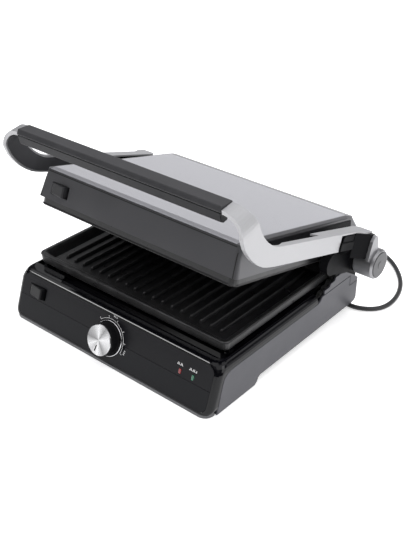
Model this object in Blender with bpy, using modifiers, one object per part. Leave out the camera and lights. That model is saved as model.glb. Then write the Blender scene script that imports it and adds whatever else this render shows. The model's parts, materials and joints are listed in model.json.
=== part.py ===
"""Contact grill (panini press) with a floating lid on two side arms.

Every size below is in millimetres and becomes metres when a mesh is made. x runs to the right, y to the rear
and z up. y is counted from the front bottom edge of the base until the whole press is shifted so that the
middle of its footprint is the origin. The arms and the lid are drawn level, as when shut, and two empties on
their axes then open them to the resting pose.
"""

from math import atan2, cos, hypot, pi, radians, sin, sqrt

import bmesh
import bpy
from mathutils import Matrix, Vector

MM = 0.001
GAP = 0.35  # between neighbours that touch
Y_MIDDLE = 148.85  # middle of the footprint, counted from the front edge

# ---- base -----------------------------------------------------------------------------------------------------
SIDE_X = 165.0  # outer face of the side panels
PANEL_T = 3.0
HOUSING_X = 161.5
BASE_DEPTH = 300.0
FRONT_LEAN = radians(20)  # the control front leans back
DECK_Z = 56.0
SHELF_Z = 36.0  # low shelf behind the plate, where the lid folds down
SHELF_Y = 259.4
FLOOR_Z = 12.5
WALL_T = 2.5
FASCIA_X = 157.5
FRONT_TOP_Z = 62.0
RIDGE_Y = 33.0  # rear of the raised front edge, before the deck
PANEL_TOP_Z = 50.6
CORNER_R = 11.0  # the front's lower corners
CREST_R = 14.0  # in plan, where the front's raised edge turns into the side rail
PANEL_FRONT = ((14.7, 1.0), (22.1, 28.3), (26.6, 42.0), (29.0, 45.6), (33.0, 48.4), (38.6, 50.1), (46.0, PANEL_TOP_Z))
RAIL_X = 156.8  # inner face of the raised rail along each side of the deck
RAIL_END_Y = 208.4
BAND_Z = 31.6  # split between the lower fascia and the control panel
BAND_TOP_Z = 59.6

# ---- cooking plates -------------------------------------------------------------------------------------------
PLATE_X = 154.6
PLATE_Y = (41.8, 258.0)
PLATE_Z = (65.4, 78.4)
PLATE_FLOOR_Z = 68.5
RIM_W = 9.0
RIB_COUNT = 18
RIB_PITCH = 15.0
RIB_W = 5.0
RIB_H = 4.0

# ---- lid, drawn level -----------------------------------------------------------------------------------------
LID_RIM_Z = 86.6  # lower edge of the upper plate
LID_BOTTOM_Z = 97.0
LID_TOP_Z = 132.4
LID_BOTTOM = (157.0, 44.5, 299.0)  # half width, front, rear
LID_TOP = (151.0, 49.6, 288.0)
LID_WAIST = (153.1, 47.8, 300.4)  # widest at the rear, where the rear bevel starts
LID_WAIST_Z = 120.0
LID_PLATE = (147.3, 57.6, 277.0)
LID_PLATE_Z = 135.2
LID_TILT = 14.2

# ---- arms, drawn level ----------------------------------------------------------------------------------------
HUB = (282.0, 88.0)  # y and z of the hinge axis
ARM_TILT = 17.0
ARM_X = (178.5, 183.5)
ARM_Z = (107.0, 128.8)
ARM_REAR_Y = 204.0
HUB_R = 19.5
HUB_X = (175.4, 202.6)
PIN_R = 4.0
GRIP_X = 154.4
LID_PIVOT = (205.0, 112.0)  # y and z in the lid's level drawing

# ---- knob -----------------------------------------------------------------------------------------------------
KNOB_Z = 31.4  # where the knob's axis meets the front
KNOB_R = 19.0
KNOB_STANDOFF = 1.2
KNOB_BODY = 11.5
CAP_T = 3.2

# ---- mains lead -----------------------------------------------------------------------------------------------
CORD_D = 6.2
GLAND_X, GLAND_Z = 40.0, 22.0
COIL = (-28.0, 404.0)  # centre on the table
COIL_R = 34.0  # middle of the turns
PLUG = (-92.0, 438.0)

COLOURS = {
    "base_black": ((0.018, 0.018, 0.020), 0.32, 0.0),
    "panel_dark": ((0.045, 0.046, 0.050), 0.45, 0.0),
    "gloss_black": ((0.020, 0.022, 0.026), 0.16, 0.0),
    "side_grey": ((0.33, 0.33, 0.36), 0.38, 0.55),
    "lip_grey": ((0.30, 0.30, 0.31), 0.4, 0.4),
    "plate_black": ((0.016, 0.016, 0.017), 0.42, 0.1),
    "lid_grey": ((0.22, 0.22, 0.23), 0.4, 0.5),
    "lid_silver": ((0.56, 0.56, 0.58), 0.3, 0.85),
    "arm_silver": ((0.68, 0.68, 0.69), 0.3, 0.8),
    "hub_silver": ((0.50, 0.50, 0.51), 0.28, 0.85),
    "cap_grey": ((0.22, 0.22, 0.23), 0.4, 0.3),
    "grip_grey": ((0.10, 0.10, 0.105), 0.42, 0.0),
    "black_plastic": ((0.022, 0.022, 0.024), 0.45, 0.0),
    "knob_metal": ((0.80, 0.80, 0.80), 0.2, 1.0),
    "steel": ((0.55, 0.55, 0.56), 0.35, 1.0),
    "rubber": ((0.02, 0.02, 0.02), 0.8, 0.0),
    "red_lens": ((0.45, 0.02, 0.02), 0.15, 0.0),
    "green_lens": ((0.03, 0.38, 0.18), 0.15, 0.0),
    "lead_grey": ((0.05, 0.05, 0.052), 0.55, 0.0),
}


# ---- scene, materials and placing -----------------------------------------------------------------------------
def clear_scene():
    for thing in list(bpy.data.objects):
        bpy.data.objects.remove(thing, do_unlink=True)


def collection(name):
    found = bpy.data.collections.get(name) or bpy.data.collections.new(name)
    if name not in bpy.context.scene.collection.children:
        bpy.context.scene.collection.children.link(found)
    return found


def material(slot):
    found = bpy.data.materials.get(slot)
    if found:
        return found
    colour, roughness, metallic = COLOURS[slot]
    found = bpy.data.materials.new(slot)
    found.use_nodes = True
    shader = found.node_tree.nodes["Principled BSDF"]
    shader.inputs["Base Color"].default_value = (*colour, 1.0)
    shader.inputs["Roughness"].default_value = roughness
    shader.inputs["Metallic"].default_value = metallic
    found.diffuse_color = (*colour, 1.0)
    return found


def turn_about_hub(angle):
    """The turn that opens a level drawing by angle degrees about the hinge axis."""
    centre = Matrix.Translation(Vector((0, HUB[0], HUB[1])) * MM)
    return centre @ Matrix.Rotation(-radians(angle), 4, "X") @ centre.inverted()


def axis_empty(name, level_point, angle):
    """An empty on a joint's axis. Its children are drawn level, and it opens them by angle."""
    level = Matrix.Translation(Vector((0, level_point[0], level_point[1])) * MM)
    empty = bpy.data.objects.new(name, None)
    empty.empty_display_size = 0.03
    collection("panini_press").objects.link(empty)
    empty.parent = PRESS
    empty.matrix_local = turn_about_hub(angle) @ level
    return empty, level.inverted()


def place(thing, slot, parent=None):
    """Links a piece, gives it its material and hangs it on the press or on a joint's empty."""
    collection("panini_press").objects.link(thing)
    thing.data.materials.clear()
    thing.data.materials.append(material(slot))
    if parent is None:
        thing.parent = PRESS
    else:
        thing.parent, thing.matrix_parent_inverse = parent
    return thing


def piece(name, mesh_maker, slot, parent=None, smooth=35):
    """One sub-part from a bmesh in millimetres."""
    mesh = bpy.data.meshes.new(name)
    shape = mesh_maker
    bmesh.ops.scale(shape, vec=(MM, MM, MM), verts=shape.verts)
    bmesh.ops.recalc_face_normals(shape, faces=shape.faces)
    shape.to_mesh(mesh)
    shape.free()
    mesh.shade_smooth()
    mesh.set_sharp_from_angle(angle=radians(smooth))
    return place(bpy.data.objects.new(name, mesh), slot, parent)


def helper(name, shape, parent=None):
    """A cutter or an addition that only a Boolean sees."""
    mesh = bpy.data.meshes.new(name)
    bmesh.ops.scale(shape, vec=(MM, MM, MM), verts=shape.verts)
    bmesh.ops.recalc_face_normals(shape, faces=shape.faces)
    shape.to_mesh(mesh)
    shape.free()
    thing = bpy.data.objects.new(name, mesh)
    collection("cutters").objects.link(thing)
    thing.hide_render = True
    thing.display_type = "WIRE"
    if parent is None:
        thing.parent = PRESS
    else:
        thing.parent, thing.matrix_parent_inverse = parent
    return thing


def boolean(thing, other, operation="DIFFERENCE"):
    step = thing.modifiers.new(operation.lower(), "BOOLEAN")
    step.operation = operation
    step.solver = "EXACT"
    step.object = other


def soften(thing, width, segments=2, angle=40):
    step = thing.modifiers.new("rounded edges", "BEVEL")
    step.width = width * MM
    step.segments = segments
    step.limit_method = "ANGLE"
    step.angle_limit = radians(angle)
    step.use_clamp_overlap = True


# ---- shapes, in millimetres -----------------------------------------------------------------------------------
def block(x, y, z):
    shape = bmesh.new()
    bmesh.ops.create_cube(shape, size=1.0)
    size = Vector((x[1] - x[0], y[1] - y[0], z[1] - z[0]))
    middle = Vector((x[0] + x[1], y[0] + y[1], z[0] + z[1])) / 2
    bmesh.ops.scale(shape, vec=size, verts=shape.verts)
    bmesh.ops.translate(shape, vec=middle, verts=shape.verts)
    return shape


def prism(outline, axis, low, high):
    """A flat outline drawn in the other two axes, in their order, and pulled along axis from low to high."""
    order = {"x": (2, 0, 1), "y": (0, 2, 1), "z": (0, 1, 2)}[axis]
    shape = bmesh.new()
    flat = []
    for a, b in outline:
        point = (a, b, low)
        flat.append(shape.verts.new([point[n] for n in order]))
    face = shape.faces.new(flat)
    pulled = bmesh.ops.extrude_face_region(shape, geom=[face])
    step = Vector([(0, 0, high - low)[n] for n in order])
    moved = [v for v in pulled["geom"] if isinstance(v, bmesh.types.BMVert)]
    bmesh.ops.translate(shape, vec=step, verts=moved)
    return shape


def rounded(corners, steps=4):
    """An outline whose corners (a, b, radius) become arcs."""
    out = []
    count = len(corners)
    for n, (a, b, radius) in enumerate(corners):
        here = Vector((a, b))
        if radius <= 0:
            out.append((a, b))
            continue
        before = (Vector(corners[n - 1][:2]) - here).normalized()
        after = (Vector(corners[(n + 1) % count][:2]) - here).normalized()
        half = before.angle(after) / 2
        middle = here + (before + after).normalized() * (radius / sin(half))
        start = here + before * (radius / sin(half) * cos(half)) - middle
        end = here + after * (radius / sin(half) * cos(half)) - middle
        first = atan2(start.y, start.x)
        sweep = (atan2(end.y, end.x) - first + pi) % (2 * pi) - pi
        for k in range(steps + 1):
            angle = first + sweep * k / steps
            out.append((middle.x + radius * cos(angle), middle.y + radius * sin(angle)))
    return out


def rectangle(half_x, y, radius, steps=4):
    """A plan outline, symmetric in x."""
    corners = [(half_x, y[0], radius), (half_x, y[1], radius), (-half_x, y[1], radius), (-half_x, y[0], radius)]
    return rounded(corners, steps)


def loft(sections):
    """A closed body through sections that have the same number of points, with flat ends."""
    shape = bmesh.new()
    rings = [[shape.verts.new(p) for p in section] for section in sections]
    count = len(rings[0])
    for lower, upper in zip(rings, rings[1:]):
        for k in range(count):
            after = (k + 1) % count
            shape.faces.new((lower[k], lower[after], upper[after], upper[k]))
    shape.faces.new(list(reversed(rings[0])))
    shape.faces.new(rings[-1])
    return shape


def rod(low, high, radius, segments=24):
    """A plain cylinder along +X."""
    shape = bmesh.new()
    lying = Matrix.Translation(((low + high) / 2, 0, 0)) @ Matrix.Rotation(pi / 2, 4, "Y")
    bmesh.ops.create_cone(shape, cap_ends=True, segments=segments, radius1=radius, radius2=radius, depth=high - low)
    return moved(shape, lying)


def turned(profile, segments=40, bore=0.0):
    """A body turned about +X. The profile is a list of (x, radius) along the outside, bored if bore is given."""
    shape = bmesh.new()
    outline = [(profile[0][0], bore), *profile, (profile[-1][0], bore)]
    points = [shape.verts.new((x, 0, radius)) for x, radius in outline]
    edges = [shape.edges.new(pair) for pair in zip(points, points[1:])]
    if bore:
        edges.append(shape.edges.new((points[-1], points[0])))
    bmesh.ops.spin(
        shape, geom=points + edges, cent=(0, 0, 0), axis=(1, 0, 0), angle=2 * pi, steps=segments, use_merge=True
    )
    bmesh.ops.remove_doubles(shape, verts=shape.verts, dist=0.0001)
    bmesh.ops.dissolve_limit(shape, angle_limit=radians(0.3), verts=shape.verts, edges=shape.edges)
    return shape


def moved(shape, matrix):
    bmesh.ops.transform(shape, matrix=matrix, verts=shape.verts)
    return shape


def mirrored(shape, side):
    """The shape itself for the right side, or its mirror image for the left."""
    if side < 0:
        bmesh.ops.scale(shape, vec=(-1, 1, 1), verts=shape.verts)
        bmesh.ops.reverse_faces(shape, faces=shape.faces)
    return shape


def at_hub(shape):
    return moved(shape, Matrix.Translation((0, HUB[0], HUB[1])))


def front_frame(x, z):
    """The frame of a point on the leaning front: local x to the right, y into the base, z up the front."""
    origin = Vector((x, z * sin(FRONT_LEAN) / cos(FRONT_LEAN), z))
    return Matrix.Translation(origin) @ Matrix.Rotation(-FRONT_LEAN, 4, "X")


def front_y(z):
    return z * sin(FRONT_LEAN) / cos(FRONT_LEAN)


def both_sides():
    return ((-1, "left"), (1, "right"))


# ---- base -----------------------------------------------------------------------------------------------------
def housing_outline(inset, floor, rear):
    """The side outline of the base housing, set in from its outer faces."""
    lean = inset / cos(FRONT_LEAN)
    return [
        (front_y(4.8) + lean, 4.8 - floor),
        *([(y, z) for y, z in front_curve()] if inset == 0 else [(front_y(DECK_Z - inset) + lean, DECK_Z - inset)]),
        *([(RIDGE_Y, FRONT_TOP_Z), (RIDGE_Y, DECK_Z)] if inset == 0 else []),
        (SHELF_Y - inset, DECK_Z - inset),
        (SHELF_Y - inset, SHELF_Z - inset),
        (rear - inset, SHELF_Z - inset),
        (rear - inset, FLOOR_Z - floor),
        (94.0, FLOOR_Z - floor),
        (86.0, 4.8 - floor),
    ]


def front_curve():
    """The rounded top of the front, as y and z."""
    start = Vector((front_y(BAND_TOP_Z), BAND_TOP_Z))
    bend = Vector((front_y(FRONT_TOP_Z), FRONT_TOP_Z))
    top = Vector((28.0, FRONT_TOP_Z))
    out = []
    for k in range(6):
        t = k / 5
        point = start * (1 - t) ** 2 + bend * (2 * t * (1 - t)) + top * t**2
        out.append((point.x, point.y))
    return out


def front_recess(clear):
    """The shallow recess in the front that takes the fascia and the control panel."""
    up = 1 / cos(FRONT_LEAN)
    x, top = FASCIA_X + clear, (BAND_TOP_Z - 0.7) * up + clear
    low = 5.6 * up
    corners = [(x, low, 9), (x, top, 9), (-x, top, 9), (-x, low, 9)]
    return moved(prism(rounded(corners, 5), "y", -8, 3.6), front_frame(0, 0))


def shell_side(z):
    """Half width of the shell at a height: upright to the side panel's top, then rounded over to the rail."""
    start = PANEL_TOP_Z + 0.4
    if z <= start:
        return SIDE_X - 0.1
    rise = min((z - start) / (FRONT_TOP_Z - start), 1.0)
    return RAIL_X + 1.2 + (SIDE_X - 1.3 - RAIL_X) * sqrt(1 - rise**2)


def corner_half(z):
    """Half width of the front corner at a height: as the shell, and drawn in round the bottom."""
    below = max(0.0, (CORNER_R + 1.0 - z) / CORNER_R)
    return shell_side(z) - CORNER_R * (1 - sqrt(1 - below**2))


def corner_post(side):
    """The rounded front corner, which turns the front's raised edge into the rail along the side."""
    heights = (4.8, 6.6, 8.8, 12.0, 28.3, 42.0, 45.6, 48.4, 50.1, PANEL_TOP_Z + 0.4, 54.0, 57.0)
    curve = [(front_y(z), z) for z in heights] + front_curve()
    sections = []
    for y, z in curve:
        y -= 0.04
        half = corner_half(z)
        rear = panel_front(z) - 0.9 if z < PANEL_TOP_Z else 44.0
        swell = max(0.0, min(1.0, (z - PANEL_TOP_Z) / (FRONT_TOP_Z - PANEL_TOP_Z)))
        radius = min(7.4 + (CREST_R - 7.4) * swell, rear - y - 1.0)
        inner_y = max(RIDGE_Y, y + 4.0) if z > PANEL_TOP_Z else rear - 0.5
        outer = rounded([(140.0, y, 0), (half, y, radius), (half, rear, 0)], 6)
        inner_r = CREST_R - 4.0 if z > PANEL_TOP_Z else 0.2
        inner_r = min(inner_r, rear - inner_y - 0.4)
        inner = rounded([(RAIL_X, rear, 0), (RAIL_X, inner_y, inner_r), (140.0, inner_y, 0)], 6)
        sections.append([(a, b, z) for a, b in outer + inner])
    return mirrored(loft(sections), side)


def shoulder_cuts(side):
    """What clears the front's corner for the post: along the leaning front, and at the end of the raised edge."""
    front = moved(block((142.0, SIDE_X + 6), (-12.0, 8.0), (-4.0, 80.0)), front_frame(0, 0))
    top = block((142.0, SIDE_X + 6), (5.0, 36.0), (PANEL_TOP_Z + 0.6, FRONT_TOP_Z + 6))
    return [mirrored(shape, side) for shape in (front, top)]


def front_shelf():
    """The wide left end of the raised edge, which slopes up a little towards the plate."""
    outline = [(-144.0, 28.2), (-98.0, 28.2), (-104.0, 40.6), (-157.2, 40.6), (-156.8, 38.0), (-153.0, 32.6)]
    bottom = [(x, y, 50.0) for x, y in outline]
    top = [(x, y, FRONT_TOP_Z + 0.09 * (y - 28.0)) for x, y in outline]
    return loft([bottom, top])


def side_rail(side):
    """The raised rail beside the deck. Its outer edge rounds down to the side panel."""
    profile = [(RAIL_X, 50.2), (RAIL_X, FRONT_TOP_Z)]
    start = PANEL_TOP_Z + 0.4
    for k in range(7):
        z = start + (FRONT_TOP_Z - start) * cos(pi / 2 * k / 6)
        profile.append((shell_side(z), z))
    profile += [(HOUSING_X - 0.4, start), (HOUSING_X - 0.4, 50.2)]
    return mirrored(prism(profile, "y", 36.0, RAIL_END_Y), side)


def panel_front(z):
    """y of the side panel's leading edge at a height."""
    edge = PANEL_FRONT
    for (y0, z0), (y1, z1) in zip(edge, edge[1:]):
        if z0 <= z <= z1:
            return y0 + (y1 - y0) * (z - z0) / (z1 - z0)
    return edge[-1][0]


def base_housing():
    rear = BASE_DEPTH - 0.6
    shape = prism(housing_outline(0, 0, rear), "x", -HOUSING_X, HOUSING_X)
    housing = piece("base_housing", shape, "base_black")
    inner = HOUSING_X - WALL_T
    for side, word in both_sides():
        for k, cut in enumerate(shoulder_cuts(side)):
            boolean(housing, helper(f"shoulder_cut_{k}_{word}", cut))
        boolean(housing, helper(f"corner_post_{word}", corner_post(side)), "UNION")
    boolean(housing, helper("housing_hollow", prism(housing_outline(6.2, 9, rear), "x", -inner, inner)))
    boolean(housing, helper("front_recess", front_recess(0)))
    for side, word in both_sides():
        boolean(housing, helper(f"side_rail_{word}", side_rail(side)), "UNION")
        foot = block(sorted((side * 158.4, side * 161.6)), (14.8, 26.0), (1.2, 6.0))
        boolean(housing, helper(f"corner_foot_{word}", foot), "UNION")
    boolean(housing, helper("front_shelf", front_shelf()), "UNION")
    lip = prism(rectangle(152.4, (45.0, 250.0), 8), "z", 50.0, 59.6)
    boolean(housing, helper("well_lip", lip), "UNION")
    inside_lip = prism(rectangle(150.8, (46.6, 248.4), 7), "z", DECK_Z, 70.0)
    boolean(housing, helper("inside_well_lip", inside_lip))
    for side, word in both_sides():
        for y in (52.0, 244.0):
            seat = block(sorted((side * 144.5, side * 151.5)), (y, y + 8), (DECK_Z - 1, PLATE_Z[0] - GAP))
            boolean(housing, helper(f"plate_seat_{word}_{int(y)}", seat), "UNION")
    well = prism(rectangle(141.0, (56.0, 246.0), 10), "z", 40, 70)
    boolean(housing, helper("plate_well", well))
    boolean(housing, helper("knob_hole", moved(rod(-20, 20, 4.6, 20), knob_matrix(0))))
    latch = moved(block((-14.9, 14.9), (-6, 14), (-7.7, 7.7)), front_frame(LATCH_X, LATCH_Z))
    boolean(housing, helper("latch_hole", latch))
    for k, x in enumerate((RED_X, GREEN_X)):
        hole = moved(block((-3.4, 3.4), (-6, 14), (-5.0, 5.0)), front_frame(x, LENS_Z))
        boolean(housing, helper(f"lens_hole_{k}", hole))
    gland = moved(rod(-10, 10, 7.4, 20), along_y(GLAND_X, BASE_DEPTH - 2, GLAND_Z))
    boolean(housing, helper("gland_hole", gland))
    return housing


LATCH_X, LATCH_Z = -128.5, 41.6
RED_X, GREEN_X, LENS_Z = 112.0, 131.0, 37.4


def along_y(x, y, z):
    """Turns a body that lies along +X so that it lies along +Y at a point."""
    return Matrix.Translation((x, y, z)) @ Matrix.Rotation(pi / 2, 4, "Z")


def knob_matrix(out):
    """Turns a body that lies along +X so that it points out of the front on the knob's axis."""
    frame = front_frame(0, KNOB_Z) @ Matrix.Translation((0, -out, 0))
    return frame @ Matrix.Rotation(-pi / 2, 4, "Z")


def front_shell(name, z_low, z_high, half_x, radius_top, radius_bottom, slot):
    """A thin shell on the leaning front, between two heights."""
    up = 1 / cos(FRONT_LEAN)
    corners = [
        (half_x, z_low * up, radius_bottom),
        (half_x, z_high * up, radius_top),
        (-half_x, z_high * up, radius_top),
        (-half_x, z_low * up, radius_bottom),
    ]
    shape = prism(rounded(corners, 5), "y", 0, 3.2)
    return piece(name, moved(shape, front_frame(0, 0)), slot)


def base_front():
    fascia = front_shell("lower_fascia", 5.9, BAND_Z - 0.2, FASCIA_X - GAP, 0, 9, "gloss_black")
    boolean(fascia, helper("fascia_knob_hole", moved(rod(-20, 20, 4.6, 20), knob_matrix(0))))
    panel = front_shell("control_panel", BAND_Z + 0.2, BAND_TOP_Z - 1.1, FASCIA_X - GAP, 9, 0, "panel_dark")
    boolean(panel, helper("panel_knob_hole", moved(rod(-20, 20, 4.6, 20), knob_matrix(0))))
    latch = moved(block((-14.9, 14.9), (-9, 14), (-7.7, 7.7)), front_frame(LATCH_X, LATCH_Z))
    boolean(panel, helper("panel_latch_hole", latch))
    for k, x in enumerate((RED_X, GREEN_X)):
        hole = moved(block((-2.1, 2.1), (-9, 14), (-3.4, 3.4)), front_frame(x, LENS_Z))
        boolean(panel, helper(f"panel_lens_hole_{k}", hole))
    for x, name, slot in ((RED_X, "indicator_red", "red_lens"), (GREEN_X, "indicator_green", "green_lens")):
        lens = piece(name, moved(block((-1.7, 1.7), (-0.6, 9), (-3.0, 3.0)), front_frame(x, LENS_Z)), slot)
        soften(lens, 0.5)
    half = corner_half(4.8)
    lip = prism(rounded([(half, 0.3, 12), (half, 14.3, 0), (-half, 14.3, 0), (-half, 0.3, 12)], 6), "z", 0.6, 4.4)
    front_trim = piece("front_trim", lip, "lip_grey")
    boolean(front_trim, helper("trim_inside", block((-158, 158), (4.6, 30), (-2, 8))))


def side_outline():
    return (
        [(22.0, 1.0)]
        + list(PANEL_FRONT)
        + [(209.0, PANEL_TOP_Z), (213.4, 52.6), (218.0, 57.6), (280.6, 57.6), (280.6, 43.2), (BASE_DEPTH, 43.2)]
        + [(BASE_DEPTH, 17.0), (297.0, 13.4), (290.0, 12.0), (94.0, 11.0), (90.6, 9.4), (87.6, 4.0), (84.0, 1.4)]
    )


def cheek_outline():
    return [
        (221.4, 58.0),
        (221.4, 64.0),
        (232.4, 64.0),
        (234.4, 68.0),
        (243.4, 68.0),
        (245.6, 72.4),
        (263.0, 72.6),
        (285.0, 58.4),
        (297.0, 49.8),
        (BASE_DEPTH, 46.8),
        (BASE_DEPTH, 43.6),
        (281.0, 43.6),
        (281.0, 58.0),
    ]


def rack_outline():
    """The black rest steps: a low block with a round nose on each step."""
    out = [(212.0, DECK_Z + GAP)]
    for y, z in ((216.0, 59.5), (224.6, 63.0), (234.2, 67.0), (244.0, 71.0)):
        for k in range(5):
            angle = pi - pi * k / 5
            out.append((y + 4.2 + 4.2 * cos(angle), z - 1.6 + 3.4 * sin(angle)))
    return out + [(258.5, 70.0), (261.0, 67.0), (261.0, DECK_Z + GAP)]


def base_sides():
    for side, word in both_sides():
        x = sorted((side * (SIDE_X - PANEL_T), side * SIDE_X))
        soften(piece(f"side_panel_{word}", prism(side_outline(), "x", *x), "side_grey"), 0.9)
        soften(piece(f"rear_cheek_{word}", prism(cheek_outline(), "x", *x), "side_grey"), 0.7)
        rack_x = sorted((side * 156.4, side * (HOUSING_X - 0.1)))
        piece(f"height_rack_{word}", prism(rack_outline(), "x", *rack_x), "rubber")


def hinge_brackets():
    for side, word in both_sides():
        plate = [(266.5, 36.6), (297.5, 36.6)]
        for k in range(11):
            angle = -0.15 + (pi + 0.3) * k / 10
            plate.append((HUB[0] + 19.0 * cos(angle), HUB[1] + 19.0 * sin(angle)))
        shape = prism(plate, "x", 158.6, 161.6)
        bracket = piece(f"hinge_bracket_{word}", mirrored(shape, side), "black_plastic")
        tower = [(266.6, 73.4), (257.0, 75.2), (248.0, 78.0), (240.0, 81.6), (229.0, 85.2)]
        for k in range(6):
            angle = radians(240 - 32 * k)
            tower.append((228.0 + 15.0 * cos(angle), 100.0 + 15.0 * sin(angle)))
        tower += [(246.0, 105.0), (268.0, 103.4), (282.0, 106.4), (298.0, 73.4)]
        tower_shape = mirrored(prism(tower, "x", 158.6, 170.0), side)
        boolean(bracket, helper(f"bracket_tower_{word}", tower_shape), "UNION")
        boss = at_hub(rod(160.0, 174.0, 18.6, 40))
        boolean(bracket, helper(f"bracket_boss_{word}", mirrored(boss, side)), "UNION")
        bore = at_hub(rod(150.0, 190.0, PIN_R + GAP, 24))
        boolean(bracket, helper(f"bracket_bore_{word}", mirrored(bore, side)))
        pin = at_hub(turned([(157.3, PIN_R - 0.6), (157.9, PIN_R), (194.0, PIN_R), (194.6, PIN_R - 0.6)], 24))
        piece(f"hinge_pin_{word}", mirrored(pin, side), "steel")


def feet():
    for side, word in both_sides():
        for y, where in ((34.0, "front"), (252.0, "rear")):
            top = 12.0
            profile = [(0.0, 9.0), (1.2, 10.5), (7.0, 11.0), (7.6, 8.0), (top, 7.5)]
            upright = Matrix.Translation((side * 132.0, y, 0)) @ Matrix.Rotation(-pi / 2, 4, "Y")
            piece(f"foot_{where}_{word}", moved(turned(profile, 24), upright), "rubber")


def floor_plate():
    inner = HOUSING_X - WALL_T - GAP
    sheet = prism(rectangle(inner, (22.0, 292.0), 3), "z", FLOOR_Z, FLOOR_Z + 2)
    plate = piece("bottom_plate", sheet, "black_plastic")
    for k in range(9):
        slot = prism(rectangle(2.2, (110.0, 150.0), 2.1, 3), "z", 5, 20)
        boolean(plate, helper(f"floor_slot_{k}", moved(slot, Matrix.Translation((14.0 * (k - 4), 0, 0)))))


# ---- inside the base ------------------------------------------------------------------------------------------
def heater(name, z, parent=None):
    """A tubular heating element bent to an M, with both cold ends to the rear."""
    points = [(-30, 236), (-30, 120), (-60, 92), (-92, 120), (-92, 200), (-114, 226), (-126, 200), (-126, 96)]
    points += [(-100, 72), (-40, 70)]
    route = points + [(-x, y) for x, y in reversed(points)]
    smooth = rounded_route(route, 18, 3)
    return tube(name, [(x, y, z) for x, y in smooth], 3.5, 1, "steel", parent)


def tube(name, points, radius, resolution, slot, parent=None):
    """A round bar or lead along points in millimetres."""
    curve = bpy.data.curves.new(name, "CURVE")
    curve.dimensions = "3D"
    curve.bevel_depth = radius * MM
    curve.bevel_resolution = resolution
    curve.use_fill_caps = True
    curve.render_resolution_u = 0
    spline = curve.splines.new("POLY")
    spline.points.add(len(points) - 1)
    for node, point in zip(spline.points, points):
        node.co = (*(Vector(point) * MM), 1)
    return place(bpy.data.objects.new(name, curve), slot, parent)


def rounded_route(points, radius, steps):
    """An open route whose inner corners become arcs."""
    inner = []
    for before, here, after in zip(points, points[1:], points[2:]):
        corner = [(*before, 0), (*here, radius), (*after, 0)]
        reach = min(hypot(here[0] - p[0], here[1] - p[1]) for p in (before, after))
        half = (Vector(before) - Vector(here)).angle(Vector(after) - Vector(here)) / 2
        fit = min(radius, 0.45 * reach * sin(half) / cos(half))
        corner[1] = (*here, fit)
        inner += rounded(corner, steps)[1:-1]
    return [points[0]] + inner + [points[-1]]


def dish(half_x, y, low, high, radius, thickness, draft=0.0):
    """An open tray: a loft for the outside, less a smaller one inside."""
    def ring(inset, z, spread):
        outline = rectangle(half_x - inset + spread, (y[0] + inset - spread, y[1] - inset + spread), radius)
        return [(a, b, z) for a, b in outline]

    outside = loft([ring(0, low, 0), ring(0, high, draft)])
    inside = loft([ring(thickness, low + thickness, 0), ring(thickness, high + 3, draft)])
    return outside, inside


def base_inside():
    outside, inside = dish(138.0, (59.0, 243.0), 40.0, 52.0, 10, 1.0)
    reflector = piece("lower_reflector", outside, "steel")
    boolean(reflector, helper("reflector_hollow", inside))
    heater("lower_heater", 58.3)
    shape = moved(block((-15, 15), (8.4, 27.0), (-7, 10)), front_frame(0, KNOB_Z))
    thermostat = piece("thermostat", shape, "black_plastic")
    soften(thermostat, 1.2)
    soften(piece("terminal_block", block((18, 62), (262, 280), (FLOOR_Z + 2 + GAP, 27)), "black_plastic"), 1.0)


def knob():
    outer = KNOB_STANDOFF + KNOB_BODY
    shaft = rod(-6.2, outer - 3.0, 3.0, 20)
    piece("knob_shaft", moved(shaft, knob_matrix(0)), "steel")
    profile = [(KNOB_STANDOFF, 20.6), (KNOB_STANDOFF + 2.0, 21.0), (KNOB_STANDOFF + 3.0, 20.0)]
    profile += [(outer - 0.8, 19.6), (outer, 18.8)]
    body = piece("knob_body", moved(turned(profile, 48), knob_matrix(0)), "black_plastic")
    hole = rod(-8, outer - 2.4, 3.0 + GAP, 20)
    boolean(body, helper("knob_bore", moved(hole, knob_matrix(0))))
    face = outer + GAP
    cap = [(face, KNOB_R - 0.6), (face + 0.7, KNOB_R), (face + CAP_T - 0.8, KNOB_R), (face + CAP_T, KNOB_R - 0.9)]
    piece("knob_cap", moved(turned(cap, 48), knob_matrix(0)), "knob_metal")


def latch_button(name, frame, parent=None):
    """A push button that stands out more and more towards its finger pocket at the right."""
    wedge = [(-14.2, 9.0), (-14.2, -0.4), (-12.0, -1.2), (8.4, -5.4), (10.6, -5.0), (10.6, 9.0)]
    button = piece(name, moved(prism(wedge, "z", -7.0, 7.0), frame), "black_plastic", parent)
    soften(button, 0.8)
    return button


# ---- cooking plates -------------------------------------------------------------------------------------------
def grill_plate(name, flip, parent=None):
    """A ribbed plate with a raised rim. The upper one is the lower one turned over."""
    def ring(inset, z):
        outline = rectangle(PLATE_X - inset, (PLATE_Y[0] + inset, PLATE_Y[1] - inset), max(8 - inset * 0.4, 3))
        return [(x, y, z) for x, y in outline]

    low, high = PLATE_Z
    outer = [ring(2.4, low), ring(1.2, low + 2), ring(0.8, high - 3), ring(0.0, high - 1.2), ring(0.8, high)]
    inner = [ring(RIM_W - 4, high), ring(RIM_W - 1, high - 2.5), ring(RIM_W + 5, PLATE_FLOOR_Z)]
    shape = loft(outer + inner)
    under = [ring(4.6, low - 2), ring(4.6, low + 0.6), ring(RIM_W + 3, PLATE_FLOOR_Z - 3.4)]
    plate = piece(name, moved(shape, flip) if flip else shape, "plate_black", parent)
    hollow = loft(under)
    boolean(plate, helper(f"{name}_underside", moved(hollow, flip) if flip else hollow, parent))
    ribs = bmesh.new()
    for k in range(RIB_COUNT):
        add_rib(ribs, RIB_PITCH * (k - (RIB_COUNT - 1) / 2))
    boolean(plate, helper(f"{name}_ribs", moved(ribs, flip) if flip else ribs, parent), "UNION")
    return plate


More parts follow.
